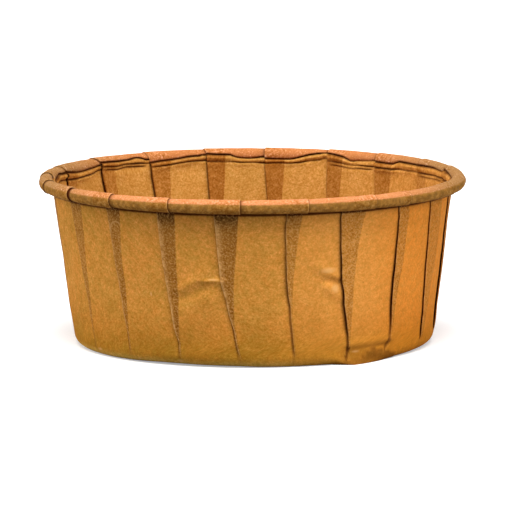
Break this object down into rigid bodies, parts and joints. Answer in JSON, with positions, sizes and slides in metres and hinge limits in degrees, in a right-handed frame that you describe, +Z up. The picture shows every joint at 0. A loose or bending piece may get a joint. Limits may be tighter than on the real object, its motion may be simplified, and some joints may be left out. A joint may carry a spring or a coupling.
{
  "type": "pleated paper cup liner",
  "caption": "Pleated kraft paper cup with a flat base, a sloping wall of knife pleats and an edge rolled outward into a bead.",
  "frame": {"origin": "on the table, at the middle of the base", "axes": "+Z up out of the cup's mouth, -Y towards the side that the picture shows"},
  "size_m": [0.0793, 0.0792, 0.0315],
  "materials": {
    "kraft_paper": "matte"
  },
  "bodies": {
    "root": {"pleated_cup": "kraft_paper"}
  },
  "joints": []
}
